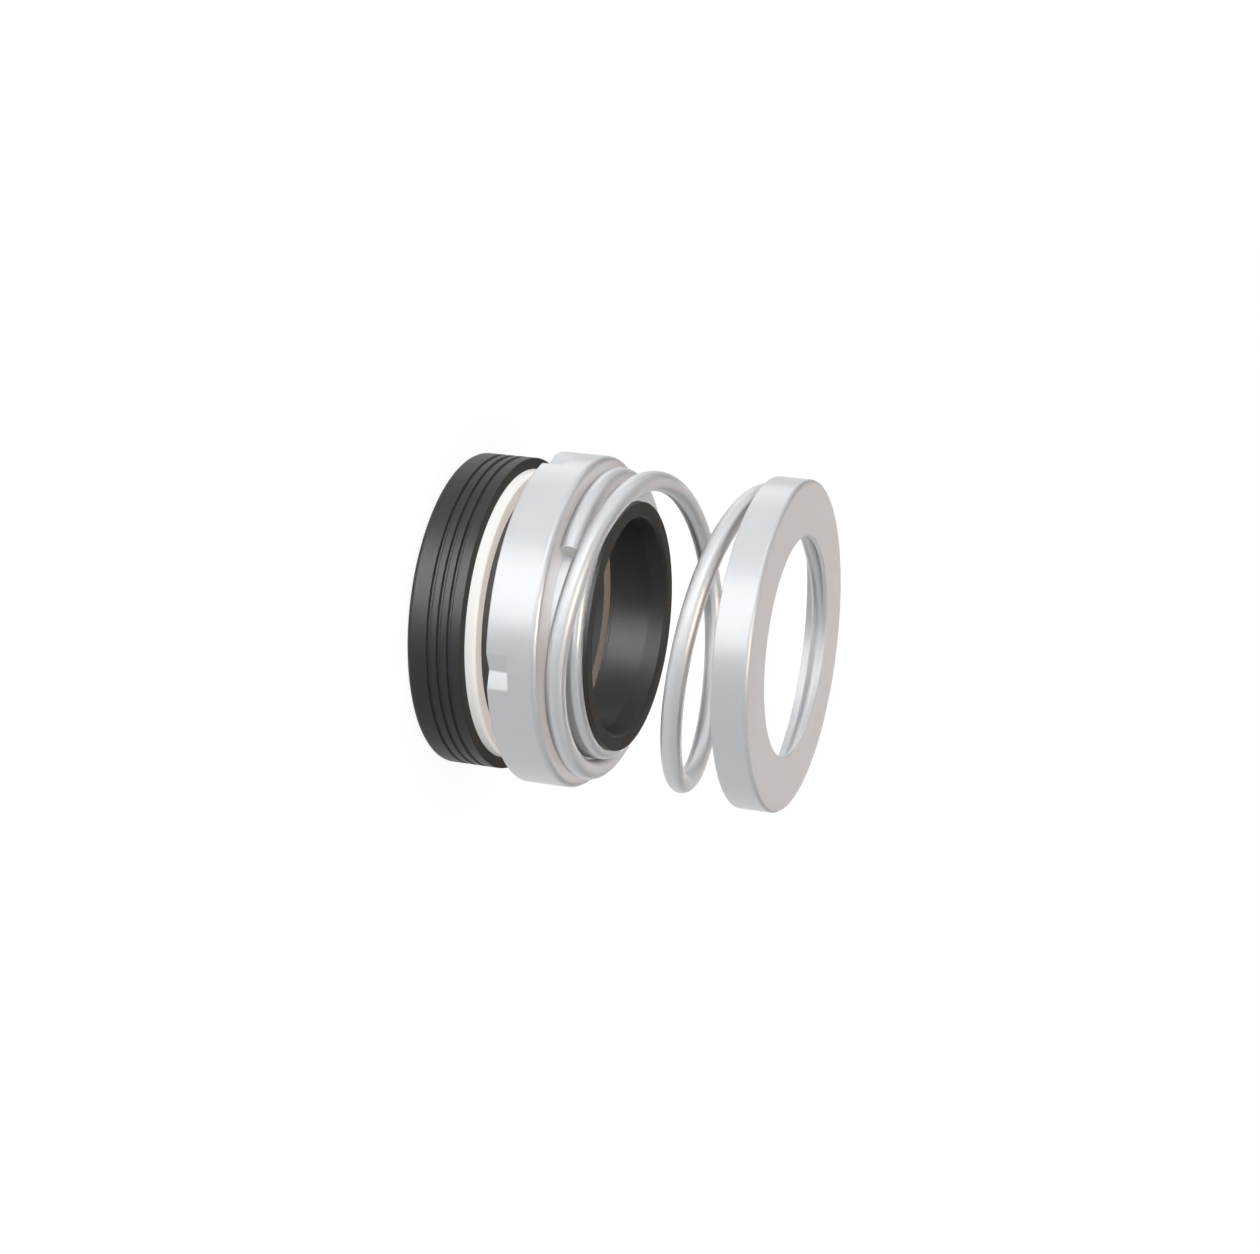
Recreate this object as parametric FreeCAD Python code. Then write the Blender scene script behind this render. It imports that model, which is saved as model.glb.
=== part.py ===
import FreeCAD, Part
import math
import os

# Mechanical shaft seal for a 30 mm pump shaft, in millimetres.
# +Z runs along the shaft axis, from the seat at the bottom to the spring holder at the top.
# The origin is the centre of the seat cup's back face, on which the seal stands.
# Everything has its free length here, as the seal comes out of its box.

# Shaft and the passages for it
shaft_radius = 15.0
seat_bore_clearance = 1.0
ring_bore_clearance = 0.45
holder_bore_clearance = 0.5

# Seat: a ceramic ring pressed into a rubber cup
seat_ring_width = 4.97
seat_proud = 1.5
seat_edge_chamfer = 0.35
seat_bore_chamfer = 0.3
seat_grip_gap = 0.02
cup_wall = 1.61
cup_length = 8.1
cup_floor = 2.0
cup_floor_setback = 1.6
cup_back_rounding = 0.7
cup_mouth_chamfer = 0.15
groove_count = 3
groove_radius = 0.3
groove_pitch = 1.5
first_groove_height = 3.3

# Primary ring: carbon, with a narrow nose that runs on the seat and a wide notched body
nose_width = 3.35
nose_length = 3.3
body_length = 2.1
ring_edge_chamfer = 0.15
body_edge_chamfer = 0.3
ring_in_retainer_gap = 0.15
notch_gap = 0.15

# Bellows: one rubber moulding, one fold that opens to the shaft in front, a thick tail behind
tail_wall = 3.57
tail_grip_gap = 0.03
tail_proud = 0.71
mouth_depth = 1.0
mouth_chamfer = 0.4
mouth_taper_length = 2.4
fold_front_wall = 1.2
fold_groove = 0.8
fold_rear_wall = 1.25
fold_side_wall = 1.3
fold_side_gap = 0.4
fold_rounding = 1.4
fold_mouth_gap = 1.3
fold_mouth_slope_width = 1.8
front_wall_setback = 3.0

# Drive band: a flanged sleeve that clamps the tail of the bellows
band_sheet = 0.7
band_stand_out = 4.5
band_lip_reach = 0.67
band_end_rounding = 1.2
band_root_rounding = 0.15
band_in_retainer_gap = 0.1
band_flange_gap = 0.05
band_flange_side_gap = 0.9

# Retainer: a drawn cup over the primary ring, crimped into the ring's notches
retainer_shoulder_width = 4.5
retainer_sheet = 0.7
retainer_rim_overhang = 0.43
retainer_corner = 0.9
dent_count = 4
dent_half_angle = 6.35
dent_depth = 1.0
dent_length = 3.05
dent_first_angle = 18.6

# Spring: one left-hand coil of round wire, with a closed turn at each end
wire_radius = 1.45
spring_free_length = 29.0
spring_seat_gap = 0.05
spring_on_band_gap = 0.27
coil_pitch = 17.27
coil_start_angle = 242.0
closed_turns_bottom = 0.861
closed_turns_top = 0.9
turn_blend = 0.05
points_per_turn = 36

# Spring holder: a drawn ring with a flat plate and a skirt
holder_on_spring_gap = 0.33
holder_sheet = 0.6
holder_length = 5.1
holder_corner = 0.8

# Radii that follow from the sizes above, from the shaft outwards
seat_bore_radius = shaft_radius + seat_bore_clearance
seat_radius = seat_bore_radius + seat_ring_width
cup_inner_radius = seat_radius + seat_grip_gap
cup_radius = cup_inner_radius + cup_wall
ring_bore_radius = shaft_radius + ring_bore_clearance
nose_radius = ring_bore_radius + nose_width
tail_radius = shaft_radius + tail_wall
band_inner_radius = tail_radius + tail_grip_gap
band_lip_radius = band_inner_radius - band_lip_reach
band_radius = band_inner_radius + band_sheet
retainer_bore_radius = band_radius + band_in_retainer_gap
retainer_radius = retainer_bore_radius + retainer_shoulder_width
retainer_inner_radius = retainer_radius - retainer_sheet
band_flange_radius = retainer_inner_radius - band_flange_side_gap
body_radius = retainer_inner_radius - ring_in_retainer_gap
fold_radius = retainer_inner_radius - dent_depth - fold_side_gap
coil_radius = band_radius + spring_on_band_gap + wire_radius
holder_inner_radius = coil_radius + wire_radius + holder_on_spring_gap
holder_radius = holder_inner_radius + holder_sheet

# Heights that follow from the sizes above, from the seat upwards
seat_face_height = cup_length + seat_proud
nose_shoulder_height = seat_face_height + nose_length
ring_back_height = nose_shoulder_height + body_length
fold_groove_bottom = ring_back_height + fold_front_wall
fold_groove_top = fold_groove_bottom + fold_groove
band_flange_bottom = fold_groove_top + fold_rear_wall
band_flange_top = band_flange_bottom + band_sheet
retainer_underside = band_flange_top + band_flange_gap
retainer_shoulder_height = retainer_underside + retainer_sheet
retainer_rim_height = nose_shoulder_height - retainer_rim_overhang
band_end_height = retainer_shoulder_height + band_stand_out
band_lip_underside = band_end_height - band_sheet
bellows_end_height = band_end_height + tail_proud
spring_bottom_height = retainer_shoulder_height + spring_seat_gap
spring_top_height = spring_bottom_height + spring_free_length
coil_bottom_height = spring_bottom_height + wire_radius
coil_top_height = spring_top_height - wire_radius
holder_underside = spring_top_height + spring_seat_gap
holder_front_height = holder_underside + holder_sheet
holder_rear_height = holder_front_height - holder_length

axis_base = FreeCAD.Vector(0, 0, 0)
axis_direction = FreeCAD.Vector(0, 0, 1)


def at(radius, height):
    return FreeCAD.Vector(radius, 0, height)


def turned(outline):
    """Solid of revolution about Z from corner points given as (radius, height)."""
    corners = [at(radius, height) for radius, height in outline]
    face = Part.Face(Part.makePolygon(corners + corners[:1]))
    return face.revolve(axis_base, axis_direction, 360)


def ring_edges(shape, radius, height):
    """The full circles of a turned shape that have this radius and this height."""
    found = []
    for edge in shape.Edges:
        if isinstance(edge.Curve, Part.Circle):
            same_radius = abs(edge.Curve.Radius - radius) < 1e-6
            same_height = abs(edge.Curve.Center.z - height) < 1e-6
            if same_radius and same_height:
                found.append(edge)
    return found


def rounded(shape, radius, height, rounding):
    return shape.makeFillet(rounding, ring_edges(shape, radius, height))


def chamfered(shape, radius, height, width):
    return shape.makeChamfer(width, ring_edges(shape, radius, height))


def upright_prism(corners, bottom, top):
    """Prism on a polygon given as (radius, angle in degrees) corners."""
    points = []
    for radius, angle in corners:
        turn = math.radians(angle)
        points.append(FreeCAD.Vector(radius * math.cos(turn), radius * math.sin(turn), bottom))
    face = Part.Face(Part.makePolygon(points + points[:1]))
    return face.extrude(FreeCAD.Vector(0, 0, top - bottom))


def seat_cup():
    """Rubber cup, L-shaped in section, with three grooves that grip the housing."""
    floor_radius = seat_bore_radius + cup_floor_setback
    cup = turned([
        (floor_radius, 0),
        (cup_radius, 0),
        (cup_radius, cup_length),
        (cup_inner_radius, cup_length),
        (cup_inner_radius, cup_floor),
        (floor_radius, cup_floor),
    ])
    cup = rounded(cup, cup_radius, 0, cup_back_rounding)
    cup = chamfered(cup, cup_radius, cup_length, cup_mouth_chamfer)
    for number in range(groove_count):
        height = first_groove_height + number * groove_pitch
        cup = cup.cut(Part.makeTorus(cup_radius, groove_radius, at(0, height), axis_direction))
    return cup


def seat_ring():
    """Ceramic ring, flat and lapped in front, that stands proud of its cup."""
    ring = turned([
        (seat_bore_radius, cup_floor),
        (seat_radius, cup_floor),
        (seat_radius, seat_face_height),
        (seat_bore_radius, seat_face_height),
    ])
    ring = chamfered(ring, seat_radius, seat_face_height, seat_edge_chamfer)
    return chamfered(ring, seat_bore_radius, seat_face_height, seat_bore_chamfer)


def dent_angles():
    return [dent_first_angle + number * 360 / dent_count for number in range(dent_count)]


def primary_ring():
    """Carbon ring: a nose that runs on the seat, and a body notched for the crimps."""
    ring = turned([
        (ring_bore_radius, seat_face_height),
        (nose_radius, seat_face_height),
        (nose_radius, nose_shoulder_height),
        (body_radius, nose_shoulder_height),
        (body_radius, ring_back_height),
        (ring_bore_radius, ring_back_height),
    ])
    ring = chamfered(ring, nose_radius, seat_face_height, ring_edge_chamfer)
    ring = chamfered(ring, ring_bore_radius, seat_face_height, ring_edge_chamfer)
    ring = chamfered(ring, body_radius, nose_shoulder_height, body_edge_chamfer)
    notch_radius = retainer_inner_radius - dent_depth - notch_gap
    half_angle = dent_half_angle + math.degrees(notch_gap / retainer_inner_radius)
    for angle in dent_angles():
        notch = [
            (retainer_radius, angle - half_angle),
            (retainer_inner_radius, angle - half_angle),
            (notch_radius, angle),
            (retainer_inner_radius, angle + half_angle),
            (retainer_radius, angle + half_angle),
        ]
        ring = ring.cut(upright_prism(notch, nose_shoulder_height, ring_back_height))
    return ring


def retainer():
    """Drawn sheet cup over the primary ring, with V-shaped crimps pressed in at its rim."""
    cup = turned([
        (retainer_radius, retainer_rim_height),
        (retainer_radius, retainer_shoulder_height),
        (retainer_bore_radius, retainer_shoulder_height),
        (retainer_bore_radius, retainer_underside),
        (retainer_inner_radius, retainer_underside),
        (retainer_inner_radius, retainer_rim_height),
    ])
    cup = rounded(cup, retainer_radius, retainer_shoulder_height, retainer_corner)
    cup = rounded(cup, retainer_inner_radius, retainer_underside, retainer_corner - retainer_sheet)
    dent_top = retainer_rim_height + dent_length
    wall_top = dent_top + retainer_sheet
    within = Part.makeCylinder(retainer_radius, wall_top)
    for angle in dent_angles():
        left = angle - dent_half_angle
        right = angle + dent_half_angle
        window = [
            (retainer_inner_radius - dent_depth, left),
            (retainer_radius + retainer_sheet, left),
            (retainer_radius + retainer_sheet, right),
            (retainer_inner_radius - dent_depth, right),
        ]
        inner_side = [
            (retainer_inner_radius, left),
            (retainer_inner_radius - dent_depth, angle),
            (retainer_inner_radius, right),
        ]
        outer_side = [
            (retainer_radius, right),
            (retainer_radius - dent_depth, angle),
            (retainer_radius, left),
        ]
        beyond = [
            (retainer_radius, right),
            (retainer_radius + retainer_sheet, angle),
            (retainer_radius, left),
        ]
        sheet = upright_prism(inner_side + outer_side, retainer_rim_height, dent_top)
        end_wall = upright_prism(inner_side + beyond, dent_top, wall_top).common(within)
        cup = cup.cut(upright_prism(window, retainer_rim_height, dent_top))
        cup = cup.fuse([sheet, end_wall])
    return cup.removeSplitter()


def drive_band():
    """Flanged sleeve round the tail of the bellows, turned in at its end."""
    band = turned([
        (band_inner_radius, band_flange_bottom),
        (band_flange_radius, band_flange_bottom),
        (band_flange_radius, band_flange_top),
        (band_radius, band_flange_top),
        (band_radius, band_end_height),
        (band_lip_radius, band_end_height),
        (band_lip_radius, band_lip_underside),
        (band_inner_radius, band_lip_underside),
    ])
    band = rounded(band, band_radius, band_end_height, band_end_rounding)
    band = rounded(band, band_inner_radius, band_lip_underside, band_end_rounding - band_sheet)
    band = rounded(band, band_radius, band_flange_top, band_root_rounding)
    return rounded(band, band_inner_radius, band_flange_bottom, band_root_rounding + band_sheet)


def bellows():
    """Rubber moulding: one fold against the primary ring's back, and a thick tail."""
    front_wall_radius = shaft_radius + front_wall_setback
    mouth_slope_radius = shaft_radius + fold_mouth_slope_width
    groove_end_radius = fold_radius - fold_side_wall
    tail_end_radius = band_lip_radius - tail_grip_gap
    tail_shoulder_height = band_lip_underside - tail_grip_gap
    mouth_radius = shaft_radius + mouth_depth
    taper_height = bellows_end_height - mouth_chamfer
    body = turned([
        (front_wall_radius, ring_back_height),
        (fold_radius, ring_back_height),
        (fold_radius, band_flange_bottom),
        (tail_radius, band_flange_bottom),
        (tail_radius, tail_shoulder_height),
        (tail_end_radius, tail_shoulder_height),
        (tail_end_radius, bellows_end_height),
        (mouth_radius, bellows_end_height),
        (mouth_radius - mouth_chamfer, taper_height),
        (shaft_radius, taper_height - mouth_taper_length),
        (shaft_radius, ring_back_height + fold_mouth_gap),
        (mouth_slope_radius, fold_groove_top),
        (groove_end_radius, fold_groove_top),
        (groove_end_radius, fold_groove_bottom),
        (front_wall_radius, fold_groove_bottom),
    ])
    body = rounded(body, fold_radius, ring_back_height, fold_rounding)
    body = rounded(body, fold_radius, band_flange_bottom, fold_rounding)
    return rounded(body, tail_radius, tail_shoulder_height, band_end_rounding - band_sheet)


def eased(turns):
    """Nought before a bend of the wire and the turns since it afterwards, rounded between."""
    if turns <= -turn_blend:
        return 0.0
    if turns >= turn_blend:
        return turns
    return (turns + turn_blend) ** 2 / (4 * turn_blend)


def coil_point(turns):
    """Centre of the wire after this many turns from its lower cut end."""
    open_turns = (coil_top_height - coil_bottom_height) / coil_pitch
    climbed = eased(turns - closed_turns_bottom) - eased(turns - closed_turns_bottom - open_turns)
    angle = math.radians(coil_start_angle - 360 * turns)
    height = coil_bottom_height + coil_pitch * climbed
    return FreeCAD.Vector(coil_radius * math.cos(angle), coil_radius * math.sin(angle), height)


def spring():
    """Round wire swept along a left-hand coil whose end turns lie flat."""
    open_turns = (coil_top_height - coil_bottom_height) / coil_pitch
    all_turns = closed_turns_bottom + open_turns + closed_turns_top
    count = round(all_turns * points_per_turn)
    line = Part.BSplineCurve()
    line.interpolate([coil_point(all_turns * number / count) for number in range(count + 1)])
    start = line.value(line.FirstParameter)
    direction = line.tangent(line.FirstParameter)[0]
    section = Part.Wire([Part.Circle(start, direction, wire_radius).toShape()])
    return Part.Wire([line.toShape()]).makePipeShell([section], True, True)


def spring_holder():
    """Drawn ring: a flat plate that bears on the shaft's shoulder, and a skirt round the spring."""
    bore_radius = shaft_radius + holder_bore_clearance
    ring = turned([
        (holder_radius, holder_rear_height),
        (holder_radius, holder_front_height),
        (bore_radius, holder_front_height),
        (bore_radius, holder_underside),
        (holder_inner_radius, holder_underside),
        (holder_inner_radius, holder_rear_height),
    ])
    ring = rounded(ring, holder_radius, holder_front_height, holder_corner)
    return rounded(ring, holder_inner_radius, holder_underside, holder_corner - holder_sheet)


pieces = {
    "seat_cup": seat_cup,
    "seat_ring": seat_ring,
    "primary_ring": primary_ring,
    "retainer": retainer,
    "bellows": bellows,
    "drive_band": drive_band,
    "spring": spring,
    "spring_holder": spring_holder,
}

os.makedirs("parts", exist_ok=True)
for name, make in pieces.items():
    solid = make()
    solid.exportStep("parts/" + name + ".step")
    box = solid.BoundBox
    print(name, "solids", len(solid.Solids), "valid", solid.isValid(), "volume", round(solid.Volume, 1),
          "z", round(box.ZMin, 2), "to", round(box.ZMax, 2))
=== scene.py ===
# %% [markdown]
# This lesson dresses a mechanical shaft seal, the part that stops water from running out along
# a pump's shaft. A rubber cup holds a white ceramic seat. A carbon ring runs on the seat inside
# a pressed steel retainer, a rubber bellows grips the shaft, and a coil spring pushes from a
# pressed holder. The solids come from CAD. Here they get finer edges, finishes, light and a camera.

# %% The frame, the CAD solids and their boxes
import bpy
import math
import numpy as np
from mathutils import Matrix, Vector


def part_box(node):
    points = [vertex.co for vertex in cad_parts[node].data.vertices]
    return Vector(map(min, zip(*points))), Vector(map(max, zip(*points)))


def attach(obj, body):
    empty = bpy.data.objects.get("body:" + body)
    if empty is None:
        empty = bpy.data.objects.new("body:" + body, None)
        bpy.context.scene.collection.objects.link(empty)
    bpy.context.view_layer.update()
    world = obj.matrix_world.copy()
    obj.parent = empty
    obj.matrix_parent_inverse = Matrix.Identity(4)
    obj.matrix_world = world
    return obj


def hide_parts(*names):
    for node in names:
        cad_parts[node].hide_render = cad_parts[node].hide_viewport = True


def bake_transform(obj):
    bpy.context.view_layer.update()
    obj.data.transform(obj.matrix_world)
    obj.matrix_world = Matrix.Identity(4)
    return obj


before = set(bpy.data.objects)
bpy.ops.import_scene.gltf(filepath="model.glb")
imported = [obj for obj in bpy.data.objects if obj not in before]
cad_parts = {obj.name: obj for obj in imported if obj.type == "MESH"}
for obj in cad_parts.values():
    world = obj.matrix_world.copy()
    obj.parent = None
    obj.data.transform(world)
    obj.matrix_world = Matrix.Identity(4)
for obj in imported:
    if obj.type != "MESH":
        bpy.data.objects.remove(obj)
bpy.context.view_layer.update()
MM = 0.001

# %% [markdown]
# The camera stands where the photographer's stood. Eight circles of the seal were fitted to the
# photograph, which gave the lens and this place. The seal lies on its side in the photograph and
# stands on its seat cup here, so the camera is rolled until the shaft axis points to the right.

# %% The camera at the photograph's place
camera_data = bpy.data.cameras.new("photo_camera")
camera_data.lens = 71.39
camera_data.clip_start, camera_data.clip_end = 0.01, 20
camera = bpy.data.objects.new("photo_camera", camera_data)
bpy.context.scene.collection.objects.link(camera)
camera.matrix_world = Matrix((
    (-0.108192, -0.993449, -0.036778, -0.013042),
    (0.321843, 0.0, -0.946793, -0.337416),
    (0.940591, -0.114272, 0.319735, 0.138609),
    (0, 0, 0, 1),
))
bpy.context.scene.camera = camera
print("camera is", round(camera.location.length / MM), "mm from the origin")

# %% [markdown]
# Materials are graphs of nodes. This class wraps one output of a node and lets Python's own signs
# add the Math nodes, so `1 - mask` is a node as well. Colours and vectors go through Mix and
# Combine nodes instead, because a Math node would turn them into one number.

# %% A node's output that can be used in sums
class Flow:
    def __init__(self, socket):
        self.socket = socket

    def __add__(self, other):
        return calc("ADD", self, other)

    def __radd__(self, other):
        return calc("ADD", other, self)

    def __sub__(self, other):
        return calc("SUBTRACT", self, other)

    def __rsub__(self, other):
        return calc("SUBTRACT", other, self)

    def __mul__(self, other):
        return calc("MULTIPLY", self, other)

    def __rmul__(self, other):
        return calc("MULTIPLY", other, self)

    def __truediv__(self, other):
        return calc("DIVIDE", self, other)

    def __lt__(self, other):
        return calc("LESS_THAN", self, other)

    def __gt__(self, other):
        return calc("GREATER_THAN", self, other)


def add(tree, kind, settings=None, sockets=None, output=0):
    """Adds one node. Its settings come first, then each socket gets a value or a link."""
    node = tree.nodes.new(kind)
    for name, value in (settings or {}).items():
        setattr(node, name, value)
    for name, value in (sockets or {}).items():
        if isinstance(value, Flow):
            tree.links.new(value.socket, node.inputs[name])
        else:
            node.inputs[name].default_value = value
    return Flow(node.outputs[output]) if len(node.outputs) else None


def calc(operation, *values):
    """One Math node. At least one of the values comes from another node."""
    tree = next(value.socket.id_data for value in values if isinstance(value, Flow))
    return add(tree, "ShaderNodeMath", {"operation": operation}, dict(enumerate(values)))


# %% [markdown]
# Every finish here depends on where a point lies on the seal: how far from the shaft, how high, and
# in which direction. These helpers read that from Object coordinates, which are metres from the
# origin, and give a noise whose grain can be stretched round the shaft, as turning and drawing do.

# %% Places and noises for the finishes
AT_FACE = 0.04 * MM  # a point this near to the height of an end face lies on it


class Finish:
    """One material and the patterns that it reads."""

    def __init__(self, name):
        self.material = bpy.data.materials.new(name)
        self.material.use_nodes = True
        self.tree = self.material.node_tree
        self.tree.nodes.clear()
        self.place = add(self.tree, "ShaderNodeTexCoord", output=3)
        self.x, self.y, self.z = (self.part_of(self.place, axis) for axis in range(3))
        self.radius = calc("SQRT", self.x * self.x + self.y * self.y)

    def part_of(self, vector, axis):
        return add(self.tree, "ShaderNodeSeparateXYZ", None, {0: vector}, output=axis)

    def vector(self, x, y, z):
        return add(self.tree, "ShaderNodeCombineXYZ", None, {0: x, 1: y, 2: z})

    def noise(self, grain_mm, detail=2.0):
        """Cloudy noise from 0 to 1 whose patches measure about grain_mm."""
        return add(self.tree, "ShaderNodeTexNoise", None,
                   {"Vector": self.place, "Scale": 1 / (grain_mm * MM), "Detail": detail})

    def rings(self, grain_mm, drift=4.0):
        """Fine lines that run round the shaft and drift a little on their way."""
        round_x = self.x / self.radius * drift
        round_y = self.y / self.radius * drift
        lines = (self.z + self.radius) / (grain_mm * MM)
        return add(self.tree, "ShaderNodeTexNoise", None,
                   {"Vector": self.vector(round_x, round_y, lines), "Scale": 1.0, "Detail": 3.0})

    def colours(self, factor, first, second):
        """Mixes two colours. The first one can be a mix itself."""
        first = first if isinstance(first, Flow) else (*first, 1)
        return add(self.tree, "ShaderNodeMix", {"data_type": "RGBA"},
                   {0: factor, 6: first, 7: (*second, 1)}, output=2)

    def bump(self, height, depth_mm):
        return add(self.tree, "ShaderNodeBump", None,
                   {"Height": height, "Distance": depth_mm * MM, "Strength": 1.0})

    def done(self, **sockets):
        named = {name.replace("_", " "): value for name, value in sockets.items()}
        shader = add(self.tree, "ShaderNodeBsdfPrincipled", None, named)
        add(self.tree, "ShaderNodeOutputMaterial", None, {"Surface": shader})
        print(self.material.name, "has", len(self.tree.nodes), "nodes")
        return self.material


# %% [markdown]
# The rubber is black nitrile. New from the mould it is satin, with a very fine grain and a thin,
# uneven bloom of wax that greys it in patches. So the colour and the roughness share one noise,
# and the grain is a bump of a few thousandths of a millimetre. The end faces of the cup and of the
# bellows are trimmed with a blade, which leaves them duller. Their brown colour is a painted
# reflection of warm light.

# %% Moulded black rubber
def rubber_finish():
    look = Finish("black_rubber")
    bloom = look.noise(5.0, 4.0)
    grain = look.noise(0.16)
    dust = look.noise(0.5) > 0.71
    cup_end, tail_end = (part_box(node)[1].z for node in ("seat_cup", "bellows"))
    on_cup = (look.z > cup_end - AT_FACE) * (look.z < cup_end + AT_FACE)
    trimmed_and_painted_warm = calc("MAXIMUM", on_cup, look.z > tail_end - AT_FACE)
    # The third colour, on the end faces, is a painted reflection of warm light, not the rubber's
    # own.
    clean, waxy, painted_warm_reflection = (0.0045, 0.0047, 0.0052), (0.009, 0.0088, 0.0085), (0.019, 0.016, 0.0135)
    moulded = look.colours(bloom * 0.8 + dust * 0.2, clean, waxy)
    return look.done(
        Base_Color=look.colours(trimmed_and_painted_warm, moulded, painted_warm_reflection),
        Roughness=0.36 + bloom * 0.12 + grain * 0.05 + trimmed_and_painted_warm * 0.35,
        Normal=look.bump(grain + bloom * 3, 0.006),
        Specular_IOR_Level=0.24,
    )


black_rubber = rubber_finish()

# %% [markdown]
# The seat is white alumina. Its outside is ground and slightly rough, and its face is lapped until
# it shines, so a mask at the face's height lowers the roughness there. Sintered alumina is never
# one pure white, and a few grains in it are a shade darker.

# %% Ground and lapped ceramic
def ceramic_finish():
    look = Finish("white_ceramic")
    seat_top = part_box("seat_ring")[1].z
    face = look.z > seat_top - AT_FACE
    cloud = look.noise(4.0, 3.0)
    grains = look.noise(0.35) > 0.74
    grinding = look.rings(0.12)
    white, shaded = (0.87, 0.869, 0.86), (0.82, 0.818, 0.807)
    return look.done(
        Base_Color=look.colours(cloud * 0.6 + grains * 0.4, white, shaded),
        Roughness=(0.34 + grinding * 0.1) * (1 - face * 0.55),
        Normal=look.bump(grinding * (1 - face), 0.003),
    )


white_ceramic = ceramic_finish()

# %% [markdown]
# The primary ring is carbon graphite, turned on a lathe. It is dark grey rather than black, and the
# tool leaves fine rings. A little metallic sheen comes from the graphite. Its back face is painted
# a
# paler brown, which is painted light: a warm reflection in the shade of the bellows' fold.

# %% Turned carbon
def carbon_finish():
    look = Finish("turned_carbon")
    turning = look.rings(0.15, 1.0)
    cloud = look.noise(2.5, 3.0)
    back_painted_warm = look.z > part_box("primary_ring")[1].z - AT_FACE
    # The third colour, on the back face, is painted light: a painted warm reflection in the fold's
    # shade.
    dark, grey, painted_warm_light = (0.030, 0.030, 0.032), (0.052, 0.052, 0.054), (0.19, 0.16, 0.13)
    machined = look.colours(cloud, dark, grey)
    return look.done(
        Base_Color=look.colours(back_painted_warm, machined, painted_warm_light),
        Metallic=0.15,
        Roughness=0.36 + turning * 0.14,
        Normal=look.bump(turning, 0.006),
    )


turned_carbon = carbon_finish()

# %% [markdown]
# The retainer, the band and the holder are drawn from stainless sheet. Tumbling leaves it satin,
# with faint lines round the shaft where the die dragged, and patches that are a little smoother.
# Metal has no colour of its own but tints what it mirrors, so the base colour stays a cool grey.

# %% Drawn stainless sheet
def sheet_finish():
    look = Finish("drawn_stainless")
    drawing = look.rings(0.10, 5.0)
    patches = look.noise(6.0, 3.0)
    pits = look.noise(0.25) > 0.73
    satin, bright = (0.43, 0.444, 0.462), (0.47, 0.480, 0.492)
    return look.done(
        Base_Color=look.colours(patches * 0.7 + drawing * 0.3, satin, bright),
        Metallic=1.0,
        Roughness=0.25 + patches * 0.08 + drawing * 0.06 + pits * 0.05,
        Normal=look.bump(drawing - pits * 0.5, 0.0025),
    )


drawn_stainless = sheet_finish()

# %% [markdown]
# Spring wire is pulled through a die, so its marks run along the wire and not round the shaft. The
# tree that makes the coil stores where each point lies on the wire: its turn, and its place round
# the wire as two numbers. Noise on those three follows the wire wherever it bends. The cutter that
# crops the wire leaves its end rough, and that end is where the turns are nought. Its pale, barely
# metallic colour there is painted light, which lifts the end out of its shade.

# %% Drawn spring wire
def wire_finish():
    look = Finish("drawn_wire")
    turn, side_x, side_y = (
        add(look.tree, "ShaderNodeAttribute", {"attribute_name": name}, output=2)
        for name in ("turn", "side_x", "side_y")
    )
    across, along = 7, 14  # how fine the marks are across the wire, and along one turn
    on_wire = look.vector(side_x * across, side_y * across, turn * along)
    marks = add(look.tree, "ShaderNodeTexNoise", None,
                {"Vector": on_wire, "Scale": 1.0, "Detail": 4.0})
    patches = look.noise(5.0, 3.0)
    cropped_and_painted_bright = turn < 0.0005
    # The cut end's pale colour and low metallic are painted light, which lifts it out of its shade.
    satin, bright, painted_light_on_cut_end = (0.455, 0.469, 0.487), (0.505, 0.515, 0.526), (0.66, 0.67, 0.67)
    drawn = look.colours(patches * 0.5 + marks * 0.5, satin, bright)
    return look.done(
        Base_Color=look.colours(cropped_and_painted_bright, drawn, painted_light_on_cut_end),
        Metallic=1 - cropped_and_painted_bright * 0.8,
        Roughness=0.32 + marks * 0.08 + patches * 0.05 + cropped_and_painted_bright * 0.3,
        Normal=look.bump(marks, 0.004),
    )


drawn_wire = wire_finish()

# %% [markdown]
# Most pieces of a seal are turned or drawn round, so they are one outline spun about the shaft.
# The outline is a list of corners in millimetres: radius, height and how far the corner is
# rounded. Rounded edges matter more than anything else on metal, because they catch the light as a
# thin line. One more point just before and after each rounding keeps the walls beside it flat
# under smooth shading.

# %% Outlines with rounded corners
def outline(corners, steps):
    """Points round a section, from (radius, height, rounding) corners in millimetres."""
    points = []
    for number, (radius, height, rounding) in enumerate(corners):
        here = np.array([radius, height], float)
        if rounding == 0:
            points.append(here)
            continue
        before = np.array(corners[number - 1][:2]) - here
        after = np.array(corners[(number + 1) % len(corners)][:2]) - here
        before, after = before / np.linalg.norm(before), after / np.linalg.norm(after)
        half = math.acos(max(-1.0, min(1.0, float(before @ after)))) / 2
        inwards = (before + after) / np.linalg.norm(before + after)
        centre = here + inwards * rounding / math.sin(half)
        first = here + before * rounding / math.tan(half) - centre
        last = here + after * rounding / math.tan(half) - centre
        turn = math.atan2(first[0] * last[1] - first[1] * last[0], float(first @ last))
        margin = min(0.25 * rounding, 0.1)
        points.append(centre + first + before * margin)
        for step in range(steps + 1):
            c, s = math.cos(turn * step / steps), math.sin(turn * step / steps)
            spoke = np.array([c * first[0] - s * first[1], s * first[0] + c * first[1]])
            points.append(centre + spoke)
        points.append(centre + last + after * margin)
    return points


def smooth(piece):
    """Smooth shading that breaks at edges of more than 30 degrees."""
    piece.data.polygons.foreach_set("use_smooth", [True] * len(piece.data.polygons))
    piece.data.set_sharp_from_angle(angle=math.radians(30))
    return piece


# %% Spinning an outline into a closed mesh
COLUMNS = 224
EVEN = [2 * math.pi * number / COLUMNS for number in range(COLUMNS)]


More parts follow.
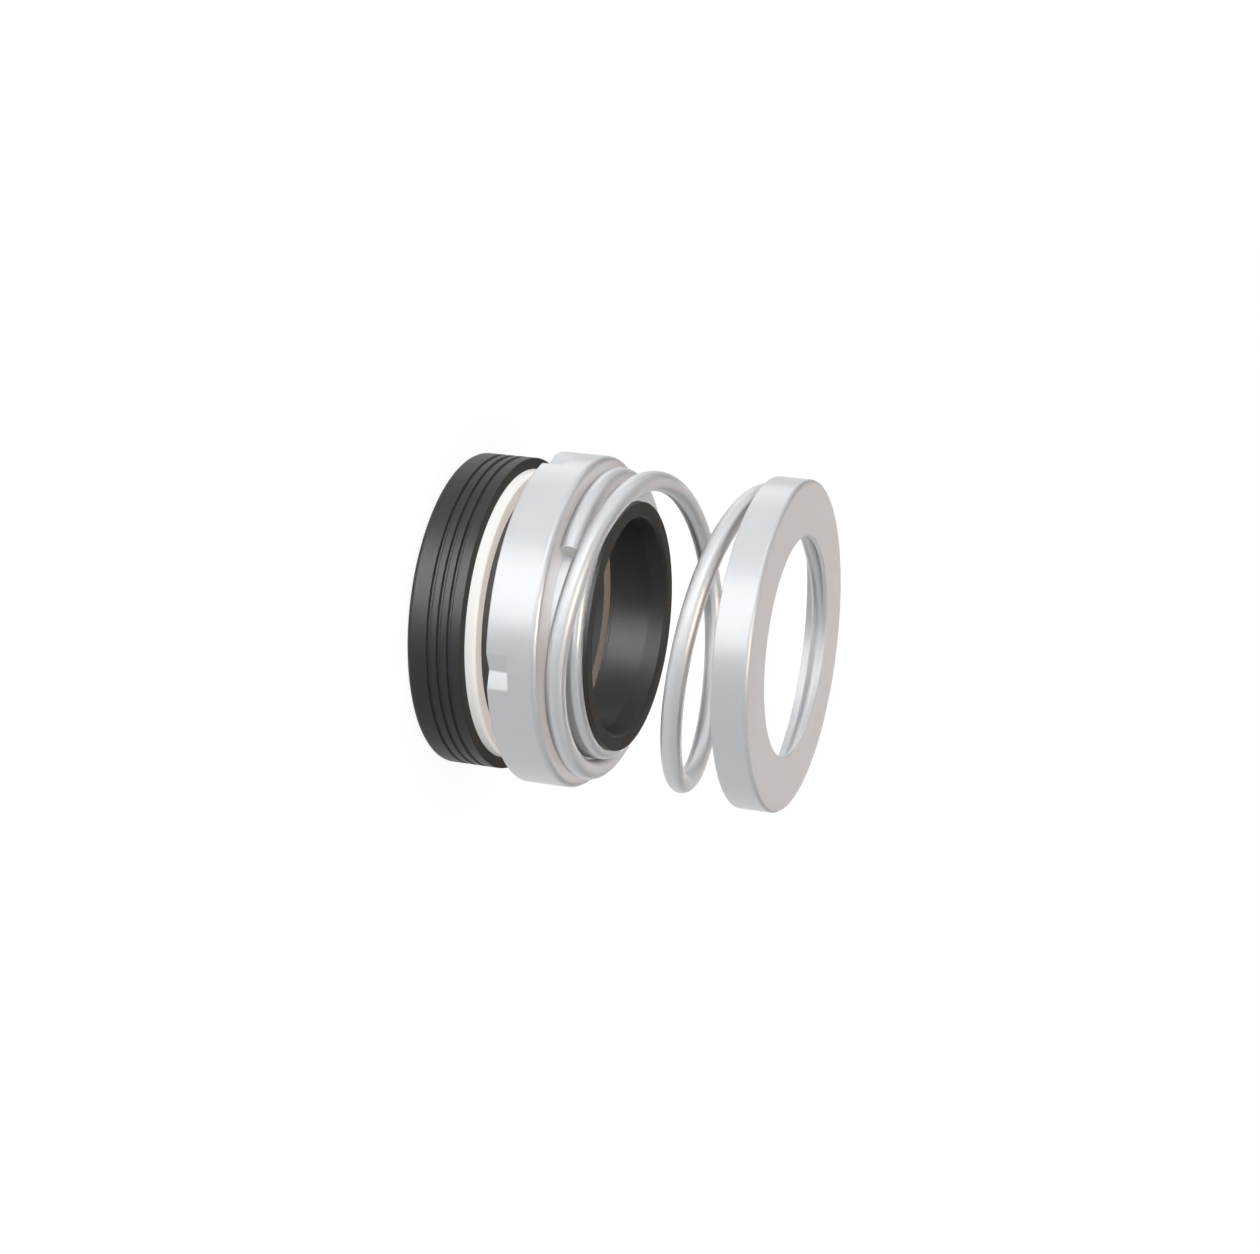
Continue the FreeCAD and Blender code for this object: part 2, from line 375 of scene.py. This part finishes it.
def turned(name, corners, material, angles=EVEN, steps=6):
    """A closed ring from an outline that runs anticlockwise, seen with the shaft on its left."""
    section = outline(corners, steps)
    rows, columns = len(section), len(angles)
    vertices = [(r * MM * math.cos(a), r * MM * math.sin(a), z * MM)
                for a in angles for r, z in section]
    faces = []
    for column in range(columns):
        here, beyond = column * rows, (column + 1) % columns * rows
        for row in range(rows):
            up = (row + 1) % rows
            faces.append((here + row, beyond + row, beyond + up, here + up))
    mesh = bpy.data.meshes.new(name)
    mesh.from_pydata(vertices, [], faces)
    mesh.materials.append(material)
    piece = bpy.data.objects.new(name, mesh)
    bpy.context.scene.collection.objects.link(piece)
    print(name, "has", len(faces), "faces, from", rows, "points round its section")
    return smooth(piece)


# %% [markdown]
# The seat cup is moulded rubber, L-shaped in section. Three shallow grooves run round its outside
# and let the rubber squeeze into the pump's pocket. Each groove is four corners, added in a loop.

# %% The seat cup and its three grooves
cup_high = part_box("seat_cup")[1] / MM
cup_bore, cup_inside, cup_floor = 17.6, 20.99, 2.0
groove_depth, mouth_half, floor_half = 0.33, 0.32, 0.14
groove_corners = []
for height in (3.3, 4.8, 6.3):
    groove_corners += [
        (cup_high.x, height - mouth_half, 0.08),
        (cup_high.x - groove_depth, height - floor_half, 0.10),
        (cup_high.x - groove_depth, height + floor_half, 0.10),
        (cup_high.x, height + mouth_half, 0.08),
    ]
seat_cup = turned("cup_rubber", [
    (cup_bore, 0, 0.2),
    (cup_high.x, 0, 0.7),
    *groove_corners,
    (cup_high.x, cup_high.z, 0.16),
    (cup_inside, cup_high.z, 0.05),
    (cup_inside, cup_floor, 0),
    (cup_bore, cup_floor, 0.1),
], black_rubber, steps=5)

# %% [markdown]
# The seat is a plain ring with a small bevel outside, so that it presses into the rubber without
# cutting it, and a smaller one at its bore.

# %% The ceramic seat
seat_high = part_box("seat_ring")[1] / MM
seat_bore, outer_bevel, bore_bevel = 16.0, 0.35, 0.3
seat_ring = turned("seat_ceramic", [
    (seat_bore, cup_floor, 0.1),
    (seat_high.x, cup_floor, 0.1),
    (seat_high.x, seat_high.z - outer_bevel, 0.12),
    (seat_high.x - outer_bevel, seat_high.z, 0.1),
    (seat_bore + bore_bevel, seat_high.z, 0.1),
    (seat_bore, seat_high.z - bore_bevel, 0.1),
], white_ceramic)

# %% [markdown]
# Four V-shaped dents crimp the retainer onto the carbon, which has a notch behind each. The same
# dent repeats by a rule, so Geometry Nodes press it: the tree takes any turned ring, finds how far
# each point is from the nearest dent and moves the near ones towards the shaft.

# %% The tree that presses dents into a ring
def inputs_of(tree, names):
    """Named inputs of a tree, as flows, after one geometry input."""
    tree.interface.new_socket("Piece", in_out="INPUT", socket_type="NodeSocketGeometry")
    for name in names:
        tree.interface.new_socket(name, in_out="INPUT", socket_type="NodeSocketFloat")
    tree.interface.new_socket("Piece", in_out="OUTPUT", socket_type="NodeSocketGeometry")
    entry = tree.nodes.new("NodeGroupInput")
    return [Flow(entry.outputs[number]) for number in range(len(names) + 1)]


def end_with(tree, geometry, material):
    """Ends a tree as the export needs it: real geometry with its material."""
    real = add(tree, "GeometryNodeRealizeInstances", None, {0: geometry})
    dressed = add(tree, "GeometryNodeSetMaterial", None, {"Geometry": real, "Material": material})
    tree.links.new(dressed.socket, tree.nodes.new("NodeGroupOutput").inputs[0])


def dent_tree(name, material):
    tree = bpy.data.node_groups.new(name, "GeometryNodeTree")
    piece, first, spacing, half, depth, outer_top, inner_top, middle = inputs_of(tree, [
        "First Angle", "Spacing", "Half Angle", "Depth", "Outer Top", "Inner Top", "Middle Radius"])
    place = add(tree, "GeometryNodeInputPosition")
    x, y, z = (add(tree, "ShaderNodeSeparateXYZ", None, {0: place}, output=axis)
               for axis in range(3))
    radius = calc("SQRT", x * x + y * y)
    angle = calc("ARCTAN2", y, x) - first + spacing * 0.5
    off_dent = calc("ABSOLUTE", calc("FLOORED_MODULO", angle, spacing) - spacing * 0.5)
    pressed = calc("MAXIMUM", 1 - off_dent / half, 0) * depth
    outside = radius > middle
    top = inner_top + (outer_top - inner_top) * outside
    shrink = 1 - pressed * (z < top) / radius
    moved = add(tree, "ShaderNodeCombineXYZ", None, {0: x * shrink, 1: y * shrink, 2: z})
    dented = add(tree, "GeometryNodeSetPosition", None, {"Geometry": piece, "Position": moved})
    end_with(tree, dented, material)
    return tree


# %% Running a tree on a piece and keeping the plain mesh
def run_tree(piece, tree, values):
    """Sets the tree's inputs by their identifiers, evaluates it and leaves a plain mesh."""
    modifier = piece.modifiers.new(tree.name, "NODES")
    modifier.node_group = tree
    sockets = {item.name: item.identifier
               for item in tree.interface.items_tree if item.in_out == "INPUT"}
    for name, value in values.items():
        modifier[sockets[name]] = value
    evaluated = piece.evaluated_get(bpy.context.evaluated_depsgraph_get())
    made = bpy.data.meshes.new_from_object(evaluated)
    piece.modifiers.clear()
    piece.data = made
    print(piece.name, "now has", len(made.polygons), "faces, from", tree.name)
    return smooth(piece)


# %% [markdown]
# A ring that gets dents needs columns of points where a dent begins, where it is deepest and where
# it ends. Two columns half a degree apart at each of those lines round them a little, and one more
# on either side of them keeps the dent's two sides flat.

# %% Columns of points that follow the dents
DENTS, FIRST_DENT, DENT_SPACING = 4, 18.6, 90.0
DENT_HALF, NOTCH_HALF = 6.35, 5.84


def dented_angles(half):
    """The columns' angles, for dents that reach this many degrees to either side."""
    edge, plain_columns = 0.22, 44
    near = [line + side * edge for line in (-half, 0, half) for side in (-3, -1, 1, 3)]
    step = (DENT_SPACING - 2 * (half + 3 * edge)) / plain_columns
    between = [half + 3 * edge + step * number for number in range(1, plain_columns)]
    return [math.radians(FIRST_DENT + DENT_SPACING * dent + angle)
            for dent in range(DENTS) for angle in near + between]


# %% [markdown]
# The carbon ring has a narrow nose, which runs on the ceramic, and a wide body inside the
# retainer. Only the nose shows, in the gap between the retainer's rim and the seat.

# %% The carbon primary ring
ring_bore, nose_radius, nose_top, ring_back = 15.45, 18.8, 12.9, 15.0
notch_depth, past_back, between_walls = 1.02, 16, 21
body_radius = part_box("primary_ring")[1].x / MM
ring_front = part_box("primary_ring")[0].z / MM
primary_ring = turned("ring_carbon", [
    (ring_bore, ring_front, 0.12),
    (nose_radius, ring_front, 0.12),
    (nose_radius, nose_top, 0.1),
    (body_radius, nose_top, 0.25),
    (body_radius, ring_back, 0.1),
    (ring_bore, ring_back, 0.1),
], turned_carbon, dented_angles(NOTCH_HALF))
run_tree(primary_ring, dent_tree("cut_notches", turned_carbon), {
    "First Angle": math.radians(FIRST_DENT), "Spacing": math.radians(DENT_SPACING),
    "Half Angle": math.radians(NOTCH_HALF), "Depth": notch_depth * MM,
    "Outer Top": past_back * MM, "Inner Top": 0.0, "Middle Radius": between_walls * MM,
})

# %% [markdown]
# The retainer is a drawn cup of thin sheet. Its outer wall gets one row of points at the top of the
# dents and one just above, and only the lower one is pressed, so each dent ends in a step. The
# inner wall gets the same rows one sheet thickness higher.

# %% The retainer and its crimps
retainer_low, retainer_high = (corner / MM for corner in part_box("retainer"))
retainer_bore, sheet = 19.4, 0.7
dent_length, dent_depth, dent_step, in_step = 3.05, 1.03, 0.07, 0.03
dent_top = retainer_low.z + dent_length
retainer = turned("retainer_steel", [
    (retainer_high.x - sheet, retainer_low.z, 0.1),
    (retainer_high.x, retainer_low.z, 0.18),
    (retainer_high.x, dent_top, 0),
    (retainer_high.x, dent_top + dent_step, 0),
    (retainer_high.x, retainer_high.z, 0.9),
    (retainer_bore, retainer_high.z, 0.12),
    (retainer_bore, retainer_high.z - sheet, 0.08),
    (retainer_high.x - sheet, retainer_high.z - sheet, 0.25),
    (retainer_high.x - sheet, dent_top + sheet + dent_step, 0),
    (retainer_high.x - sheet, dent_top + sheet, 0),
], drawn_stainless, dented_angles(DENT_HALF), steps=8)
run_tree(retainer, dent_tree("press_dents", drawn_stainless), {
    "First Angle": math.radians(FIRST_DENT), "Spacing": math.radians(DENT_SPACING),
    "Half Angle": math.radians(DENT_HALF), "Depth": dent_depth * MM,
    "Outer Top": (dent_top + in_step) * MM, "Inner Top": (dent_top + sheet + in_step) * MM,
    "Middle Radius": (retainer_high.x - sheet / 2) * MM,
})

# %% [markdown]
# The bellows is one rubber moulding. A fold that opens to the shaft stands behind the carbon, and
# the thick tail grips the shaft. Its mouth has a small bevel and then a long, slight taper, so
# that it slides onto the shaft. The end of the tail stands out of the steel band around it.

# %% The bellows
bellows_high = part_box("bellows")[1] / MM
band_low, band_high = (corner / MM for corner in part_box("drive_band"))
shaft_radius, mouth_radius, mouth_bevel, taper = 15.0, 16.0, 0.4, 2.8
tail_radius, tail_end_radius, tail_shoulder = 18.57, 17.9, band_high.z - 0.73
front_wall_bore, fold_throat, fold_floor = 18.0, 16.8, 20.5
fold_front, fold_mouth, fold_back = 16.2, 16.3, 17.0
bellows = turned("bellows_rubber", [
    (front_wall_bore, ring_back, 0.15),
    (bellows_high.x, ring_back, 1.4),
    (bellows_high.x, band_low.z, 1.4),
    (tail_radius, band_low.z, 0),
    (tail_radius, tail_shoulder, 0.5),
    (tail_end_radius, tail_shoulder, 0.1),
    (tail_end_radius, bellows_high.z, 0.22),
    (mouth_radius, bellows_high.z, 0.12),
    (mouth_radius - mouth_bevel, bellows_high.z - mouth_bevel, 0.4),
    (shaft_radius, bellows_high.z - taper, 3.0),
    (shaft_radius, fold_mouth, 0.2),
    (fold_throat, fold_back, 0.3),
    (fold_floor, fold_back, 0.3),
    (fold_floor, fold_front, 0.3),
    (front_wall_bore, fold_front, 0.3),
], black_rubber, steps=7)

# %% [markdown]
# The band is a short sleeve drawn from the same sheet. It clamps the tail, turns in over its
# shoulder with a full round, and has a flange that hides inside the retainer.

# %% The drive band
band_bore, band_lip = 18.6, 17.93
drive_band = turned("band_steel", [
    (band_bore, band_low.z, 0.85),
    (band_high.x, band_low.z, 0.08),
    (band_high.x, band_low.z + sheet, 0.08),
    (band_bore + sheet, band_low.z + sheet, 0.15),
    (band_bore + sheet, band_high.z, 1.2),
    (band_lip, band_high.z, 0.05),
    (band_lip, band_high.z - sheet, 0.05),
    (band_bore, band_high.z - sheet, 0.5),
], drawn_stainless)

# %% [markdown]
# The spring holder is a drawn ring: a flat plate that bears against the shaft's shoulder, and a
# skirt that centres the last coil.

# %% The spring holder
holder_low, holder_high = (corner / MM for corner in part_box("spring_holder"))
holder_bore, holder_sheet = 15.5, 0.6
spring_holder = turned("holder_steel", [
    (holder_high.x - holder_sheet, holder_low.z, 0.08),
    (holder_high.x, holder_low.z, 0.2),
    (holder_high.x, holder_high.z, 0.55),
    (holder_bore, holder_high.z, 0.15),
    (holder_bore, holder_high.z - holder_sheet, 0.1),
    (holder_high.x - holder_sheet, holder_high.z - holder_sheet, 0.2),
], drawn_stainless, steps=8)

# %% [markdown]
# The spring follows a rule, so Geometry Nodes draw it. The wire's centre runs round the shaft by
# equal angles. It lies flat for the closed turns at the ends, climbs at a constant pitch between
# them, and each bend is rounded. A circle swept along that line makes the wire.

# %% The tree that coils the spring
def spring_tree(material):
    tree = bpy.data.node_groups.new("coil_spring", "GeometryNodeTree")
    _, start, turns, lower, upper, bend, pitch, bottom, coil_radius, wire_radius = inputs_of(tree, [
        "Start Angle", "Turns", "Lower Bend", "Upper Bend", "Bend Length", "Pitch", "Bottom",
        "Coil Radius", "Wire Radius"])
    slices, round_wire = 320, 40
    line = add(tree, "GeometryNodeCurvePrimitiveLine", None, {"End": (0, 0, 1)})
    line = add(tree, "GeometryNodeResampleCurve", None, {"Curve": line, "Count": slices})
    turn = add(tree, "GeometryNodeSplineParameter") * turns

    def eased(turned_by):
        within = calc("MINIMUM", calc("MAXIMUM", turned_by, -1 * bend), bend) + bend
        return within * within / (4 * bend) + calc("MAXIMUM", turned_by - bend, 0)

    angle = start - turn * (2 * math.pi)
    climbed = eased(turn - lower) - eased(turn - upper)
    share = climbed / (upper - lower)
    centre = add(tree, "ShaderNodeCombineXYZ", None, {
        0: coil_radius * calc("COSINE", angle),
        1: coil_radius * calc("SINE", angle),
        2: bottom + climbed * pitch,
    })

    def keep(geometry, name, value):
        return add(tree, "GeometryNodeStoreNamedAttribute",
                   {"data_type": "FLOAT", "domain": "POINT"},
                   {"Geometry": geometry, "Name": name, "Value": value})

    line = keep(keep(line, "turn", turn), "share", share)
    line = add(tree, "GeometryNodeSetPosition", None, {"Geometry": line, "Position": centre})
    circle = add(tree, "GeometryNodeCurvePrimitiveCircle", None,
                 {"Resolution": round_wire, "Radius": wire_radius})
    side = add(tree, "GeometryNodeSplineParameter") * (2 * math.pi)
    circle = keep(keep(circle, "side_x", calc("COSINE", side)), "side_y", calc("SINE", side))
    wire = add(tree, "GeometryNodeCurveToMesh", None,
               {"Curve": line, "Profile Curve": circle, "Fill Caps": True})
    end_with(tree, wire, material)
    return tree


# %% The spring
spring_low, spring_high = (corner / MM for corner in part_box("spring"))
WIRE, COIL, PITCH = 1.45, 21.02, 17.27
CUT_END, CLOSED_BELOW, CLOSED_ABOVE, BEND = 242, 0.861, 0.9, 0.05
coil_bottom = round(spring_low.z, 2) + WIRE
open_turns = (round(spring_high.z, 2) - WIRE - coil_bottom) / PITCH
blank = [(20, 20, 0), (21, 20, 0), (21, 21, 0)]  # the tree puts the wire in its place
spring = turned("spring_wire", blank, drawn_wire, EVEN[:3], steps=1)
run_tree(spring, spring_tree(drawn_wire), {
    "Start Angle": math.radians(CUT_END), "Turns": CLOSED_BELOW + open_turns + CLOSED_ABOVE,
    "Lower Bend": CLOSED_BELOW, "Upper Bend": CLOSED_BELOW + open_turns, "Bend Length": BEND,
    "Pitch": PITCH * MM, "Bottom": coil_bottom * MM,
    "Coil Radius": COIL * MM, "Wire Radius": WIRE * MM,
})

# %% [markdown]
# Each piece now stands for its CAD solid, which is hidden. Six of them ride on the same body as
# their solid. The bellows and the spring are baked in place and ride on no body. The spring's
# slices carry their share of the climb between the retainer and the holder, read back here.

# %% Riding on the moving bodies
riders = [
    (seat_cup, "seat", "seat_cup", "rubber"),
    (seat_ring, "seat", "seat_ring", "ceramic"),
    (primary_ring, "head", "primary_ring", "carbon"),
    (retainer, "head", "retainer", "pressed_steel"),
    (drive_band, "tail", "drive_band", "pressed_steel"),
    (spring_holder, "holder", "spring_holder", "pressed_steel"),
]
for piece, body, node, slot in riders:
    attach(piece, body)
    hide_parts(node)

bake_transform(bellows)
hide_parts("bellows")

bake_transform(spring)
shares = np.zeros(len(spring.data.vertices), np.float32)
spring.data.attributes["share"].data.foreach_get("value", shares)
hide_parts("spring")
print("spring shares run from", round(float(shares.min()), 3), "to", round(float(shares.max()), 3))

# %% [markdown]
# The seal stands on a plain pale floor under an even white sky. Light Path tells the floor which
# rays look at it. Rays from the camera, and those that a mirror or glass sends on, also see a glow
# that lifts the floor to white. The rest of its light is paint, so the floor keeps a soft shadow.
# Less lamp light reaches the floor far off, so the glow grows a little over the first metre. The
# sky is darker in one patch behind the seal, which the spring holder's flat front mirrors. A lamp
# of a warmer white takes its place there.

# %% The floor and the sky
reach = 9  # metres to each side
floor_mesh = bpy.data.meshes.new("floor")
floor_mesh.from_pydata(
    [(-reach, -reach, 0), (reach, -reach, 0), (reach, reach, 0), (-reach, reach, 0)],
    [], [(0, 1, 2, 3)])
floor = bpy.data.objects.new("floor", floor_mesh)
bpy.context.scene.collection.objects.link(floor)

floor_material = bpy.data.materials.new("pale_floor")
floor_material.use_nodes = True
tree = floor_material.node_tree
tree.nodes.clear()
camera_ray, glossy_ray, transmission_ray = (
    add(tree, "ShaderNodeLightPath", output=name)
    for name in ("Is Camera Ray", "Is Glossy Ray", "Is Transmission Ray")
)
looked_at = calc("MINIMUM", camera_ray + glossy_ray + transmission_ray, 1)
paint = add(tree, "ShaderNodeBsdfDiffuse", None, {"Color": (0.22, 0.22, 0.22, 1)})
on_floor = add(tree, "ShaderNodeTexCoord", output=3)
distance = add(tree, "ShaderNodeVectorMath", {"operation": "LENGTH"}, {0: on_floor}, output=1)
near_glow, glow_growth = 0.77, 0.06
glow = add(tree, "ShaderNodeEmission", None, {
    "Color": (0.975, 0.99, 1, 1),
    "Strength": looked_at * (near_glow + calc("MINIMUM", distance, 1) * glow_growth),
})
both = add(tree, "ShaderNodeAddShader", None, {0: paint, 1: glow})
add(tree, "ShaderNodeOutputMaterial", None, {"Surface": both})
floor_mesh.materials.append(floor_material)

world = bpy.data.worlds.new("white_sky")
bpy.context.scene.world = world
world.use_nodes = True
tree = world.node_tree
tree.nodes.clear()
open_sky, darker_by, behind, edge = 0.9, 0.6, (0.04, 0.95, 0.32), 0.72
direction = add(tree, "ShaderNodeTexCoord", output=0)
towards_back = add(tree, "ShaderNodeVectorMath", {"operation": "DOT_PRODUCT"},
                   {0: direction, 1: behind}, output=1)
patch = calc("MINIMUM", calc("MAXIMUM", (towards_back - edge) * 4, 0), 1)
sky = add(tree, "ShaderNodeBackground", None,
          {"Color": (1, 1, 1, 1), "Strength": open_sky - patch * darker_by})
add(tree, "ShaderNodeOutputWorld", None, {"Surface": sky})
print("the floor is", 2 * reach, "m wide, and the sky has a strength of", open_sky)

# %% [markdown]
# In the photograph every upright wall has the same bright band, and the creases between the coils
# are as light as the open faces. So the lamps are soft, stand far off and cast no shadow, apart
# from the key lamp. A camera above the seal sees the floor in its walls, so the lamps for the band
# stand below the floor, which doesn't stop them. Black rubber mirrors little, so one lamp lights
# it alone. A lamp without shadow can leave a lone bright dot on an edge, so the light of one
# sample is capped.

# %% The lamps
def lamp(name, turn, height, far, radiance, colour, width, depth, shadow=False):
    """A soft lamp that faces the seal. Turn goes from -Y towards -X and height upwards, in
    degrees. The lengths are metres, and a lamp as bright as the white floor has radiance 1."""
    turn, height = math.radians(turn), math.radians(height)
    towards = Vector((-math.sin(turn) * math.cos(height), -math.cos(turn) * math.cos(height),
                      math.sin(height)))
    data = bpy.data.lights.new(name, "AREA")
    data.shape = "RECTANGLE"
    data.size, data.size_y = width, depth
    data.energy, data.color = radiance * math.pi * width * depth, colour
    data.use_shadow = shadow
    data.cycles.use_multiple_importance_sampling = shadow
    made = bpy.data.objects.new(name, data)
    bpy.context.scene.collection.objects.link(made)
    made.location = towards * far + Vector((0, 0, 25 * MM))
    made.rotation_mode = "QUATERNION"
    made.rotation_quaternion = (-towards).to_track_quat("-Z", "Y")
    return made


WHITE = (1, 1, 1)
IN_WALLS = -18.7  # the height that the camera sees mirrored in the upright walls
# name, turn, height, far, radiance, colour, width and depth
lamp("band_lamp", 20, IN_WALLS, 0.6, 1.26, WHITE, 0.54, 0.30)
lamp("side_lamp", 80, IN_WALLS, 0.6, 0.48, WHITE, 0.75, 0.30)
lamp("rim_lamp", 124, IN_WALLS, 0.6, 0.8, WHITE, 0.24, 0.30)
lamp("key_lamp", 39, 12, 0.43, 1.4, WHITE, 0.42, 0.12, shadow=True)
lamp("front_lamp", 15, 19, 0.6, 1.4, (1, 0.95, 0.90), 0.80, 0.20)
lamp("cream_lamp", 0, 71, 0.6, 6.5, (1, 0.80, 0.58), 0.18, 0.18)
lamp("top_lamp", 0, 78, 0.9, 0.45, (1, 0.93, 0.85), 1.2, 1.2)
lamp("high_side_lamp", 88, 22, 0.6, 0.65, WHITE, 0.70, 0.40)
lamp("low_lamp", 35, -48, 0.6, 0.30, WHITE, 1.30, 0.40)
lamp("under_lamp", 0, -78, 0.6, 0.40, WHITE, 0.60, 0.60)
lamp("back_lamp", 182, 23, 0.98, 0.75, (1, 0.88, 0.81), 0.80, 0.80)
rubber_lamp = lamp("rubber_lamp", 20, -12, 0.6, 12.0, WHITE, 0.48, 0.50)
rubber_pieces = bpy.data.collections.new("rubber_pieces")
for piece in (seat_cup, bellows):
    rubber_pieces.objects.link(piece)
rubber_lamp.light_linking.receiver_collection = rubber_pieces
bpy.context.scene.cycles.sample_clamp_direct = 40
casting = [light.name for light in bpy.data.lights if light.use_shadow]
print(len(bpy.data.lights), "lamps, and shadow comes from", *casting, "and the sky")

# %% [markdown]
# The last cell sets the colour transform.

# %% The colour transform and the end
bpy.context.scene.view_settings.view_transform = "Standard"
